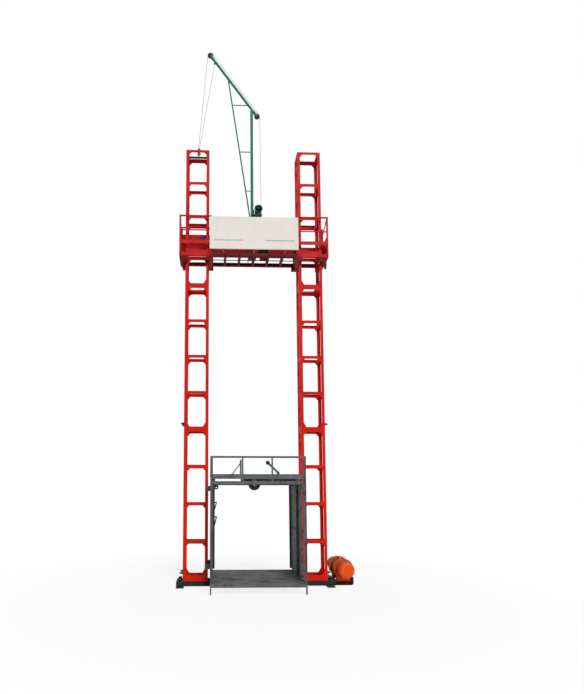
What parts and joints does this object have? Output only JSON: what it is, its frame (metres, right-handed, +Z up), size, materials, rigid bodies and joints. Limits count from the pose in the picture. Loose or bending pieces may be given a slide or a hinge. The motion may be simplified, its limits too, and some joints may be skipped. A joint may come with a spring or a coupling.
{
  "type": "material hoist",
  "caption": "Two-mast material hoist: bolted lattice masts on a base frame, a guided open cage, a climbing top platform with a slewing jib and hook, and a drum winch.",
  "frame": {"origin": "on the ground midway between the two masts, at the middle of their depth", "axes": "+X from the left mast to the right mast and the winch, +Y from the loading side to the rear, +Z up"},
  "size_m": [3.523, 1.626, 11.5505],
  "materials": {
    "mast_red": "gloss paint",
    "platform_red": "gloss paint",
    "base_black": "worn dark paint",
    "bolt_steel": "plated",
    "winch_orange": "gloss paint",
    "drum_steel": "oiled steel",
    "rope": "stranded wire",
    "cage_grey": "worn grey paint",
    "boards": "weathered",
    "sheave_iron": "dark paint",
    "sign_white": "matt off-white paint",
    "jib_green": "gloss paint",
    "hook_black": "black"
  },
  "bodies": {
    "frame": {"base_front_beam": "base_black", "base_rear_beam": "base_black", "base_cross_members": "base_black", "ground_plates": "base_black", "left_mast_lower": "mast_red", "left_mast_middle": "mast_red", "left_mast_upper": "mast_red", "right_mast_lower": "mast_red", "right_mast_middle": "mast_red", "right_mast_upper": "mast_red", "mast_bolts": "bolt_steel", "lifting_bar": "base_black", "winch_skid": "winch_orange", "winch_frame": "winch_orange", "winch_tie_bars": "winch_orange", "winch_gear_cover": "winch_orange", "winch_motor": "winch_orange", "winch_fan_cover": "winch_orange"},
    "cage": {"cage_floor_frame": "cage_grey", "cage_floor_boards": "boards", "cage_left_wall": "cage_grey", "cage_right_wall": "cage_grey", "cage_top_beams": "cage_grey", "cage_crossbeam": "cage_grey", "cage_guard_rail": "cage_grey", "cage_roof_plate": "cage_grey", "cage_landing_legs": "cage_grey", "cage_sheave_pin": "drum_steel", "cage_guides": "cage_grey"},
    "platform": {"platform_front_beam": "platform_red", "platform_rear_beam": "platform_red", "platform_joists": "platform_red", "platform_guides": "platform_red", "platform_lock_bars": "platform_red", "platform_front_rails": "platform_red", "platform_rear_rails": "platform_red", "platform_ends": "platform_red", "sign_board": "sign_white", "platform_sheave_brackets": "platform_red", "jib_socket": "jib_green"},
    "winch_drum": {"winch_drum": "drum_steel", "winch_rope": "rope"},
    "cage_sheave": {"cage_sheave": "sheave_iron"},
    "upper_front_rollers": {"upper_front_rollers": "drum_steel"},
    "upper_rear_rollers": {"upper_rear_rollers": "drum_steel"},
    "lower_front_rollers": {"lower_front_rollers": "drum_steel"},
    "lower_rear_rollers": {"lower_rear_rollers": "drum_steel"},
    "left_stop_bolt": {"left_stop_bolt": "drum_steel"},
    "right_stop_bolt": {"right_stop_bolt": "drum_steel"},
    "safety_lever": {"safety_lever": "cage_grey"},
    "side_sheave": {"platform_side_sheave": "sheave_iron"},
    "centre_sheave": {"platform_centre_sheave": "sheave_iron"},
    "jib": {"jib_frame": "jib_green", "hand_winch_frame": "jib_green", "jib_rope_run": "rope", "jib_rope_falls": "rope"},
    "jib_tip_sheave": {"jib_tip_sheave": "sheave_iron"},
    "jib_rear_sheave": {"jib_rear_sheave": "sheave_iron"},
    "hand_winch_drum": {"hand_winch_drum": "drum_steel"},
    "hook": {"jib_hook": "hook_black"}
  },
  "joints": [
    {"name": "cage_lift", "type": "slide", "parent": "frame", "child": "cage", "axis": [0, 0, 1], "range_m": [0, 3.7]},
    {"name": "platform_climb", "type": "slide", "parent": "frame", "child": "platform", "axis": [0, 0, 1], "range_m": [0, 0.6]},
    {"name": "winch_spin", "type": "hinge", "parent": "frame", "child": "winch_drum", "pos_m": [1.77, 0.136, 0.328], "axis": [0, 1, 0], "continuous": true},
    {"name": "cage_sheave_spin", "type": "hinge", "parent": "cage", "child": "cage_sheave", "pos_m": [0, 0, 2.01], "axis": [0, 1, 0], "continuous": true},
    {"name": "upper_front_roll", "type": "hinge", "parent": "cage", "child": "upper_front_rollers", "pos_m": [0.964, -0.2003, 1.925], "axis": [1, 0, 0], "continuous": true},
    {"name": "upper_rear_roll", "type": "hinge", "parent": "cage", "child": "upper_rear_rollers", "pos_m": [0.964, 0.2003, 1.925], "axis": [1, 0, 0], "continuous": true},
    {"name": "lower_front_roll", "type": "hinge", "parent": "cage", "child": "lower_front_rollers", "pos_m": [0.964, -0.2003, 0.415], "axis": [1, 0, 0], "continuous": true},
    {"name": "lower_rear_roll", "type": "hinge", "parent": "cage", "child": "lower_rear_rollers", "pos_m": [0.964, 0.2003, 0.415], "axis": [1, 0, 0], "continuous": true},
    {"name": "left_stop_slide", "type": "slide", "parent": "cage", "child": "left_stop_bolt", "axis": [-1, 0, 0], "range_m": [0, 0.09]},
    {"name": "right_stop_slide", "type": "slide", "parent": "cage", "child": "right_stop_bolt", "axis": [1, 0, 0], "range_m": [0, 0.09]},
    {"name": "safety_lever_swing", "type": "hinge", "parent": "cage", "child": "safety_lever", "pos_m": [0.48, -0.055, 2.247], "axis": [0, 1, 0], "range_deg": [-30, 25]},
    {"name": "side_sheave_spin", "type": "hinge", "parent": "platform", "child": "side_sheave", "pos_m": [1.486, 0, 6.915], "axis": [0, 1, 0], "continuous": true},
    {"name": "centre_sheave_spin", "type": "hinge", "parent": "platform", "child": "centre_sheave", "pos_m": [0.21576, 0, 6.955], "axis": [0, 1, 0], "continuous": true},
    {"name": "jib_slew", "type": "hinge", "parent": "platform", "child": "jib", "pos_m": [-0.02, 0, 7], "axis": [0, 0, 1], "continuous": true},
    {"name": "hook_hoist", "type": "slide", "parent": "jib", "child": "hook", "axis": [0, 0, 1], "range_m": [0, 1.4], "deforming": ["jib_rope_falls"]},
    {"name": "tip_sheave_spin", "type": "hinge", "parent": "jib", "child": "jib_tip_sheave", "pos_m": [-0.927, 0, 11.489], "axis": [0, 1, 0], "continuous": true},
    {"name": "rear_sheave_spin", "type": "hinge", "parent": "jib", "child": "jib_rear_sheave", "pos_m": [0.1, 0, 10.06], "axis": [0, 1, 0], "continuous": true},
    {"name": "hand_winch_spin", "type": "hinge", "parent": "jib", "child": "hand_winch_drum", "pos_m": [0.113, 0, 7.885], "axis": [0, 1, 0], "continuous": true}
  ],
  "couplings": [
    {"joint": "winch_spin", "follows": "cage_lift", "rad_per_m": -12.731},
    {"joint": "cage_sheave_spin", "follows": "cage_lift", "rad_per_m": -8.9767},
    {"joint": "upper_front_roll", "follows": "cage_lift", "rad_per_m": -25},
    {"joint": "upper_rear_roll", "follows": "cage_lift", "rad_per_m": 25},
    {"joint": "lower_front_roll", "follows": "cage_lift", "rad_per_m": -25},
    {"joint": "lower_rear_roll", "follows": "cage_lift", "rad_per_m": 25},
    {"joint": "side_sheave_spin", "follows": "cage_lift", "rad_per_m": 40.161},
    {"joint": "centre_sheave_spin", "follows": "cage_lift", "rad_per_m": 19.164},
    {"joint": "tip_sheave_spin", "follows": "hook_hoist", "rad_per_m": 34.722},
    {"joint": "rear_sheave_spin", "follows": "hook_hoist", "rad_per_m": 34.722},
    {"joint": "hand_winch_spin", "follows": "hook_hoist", "rad_per_m": 30.395}
  ]
}
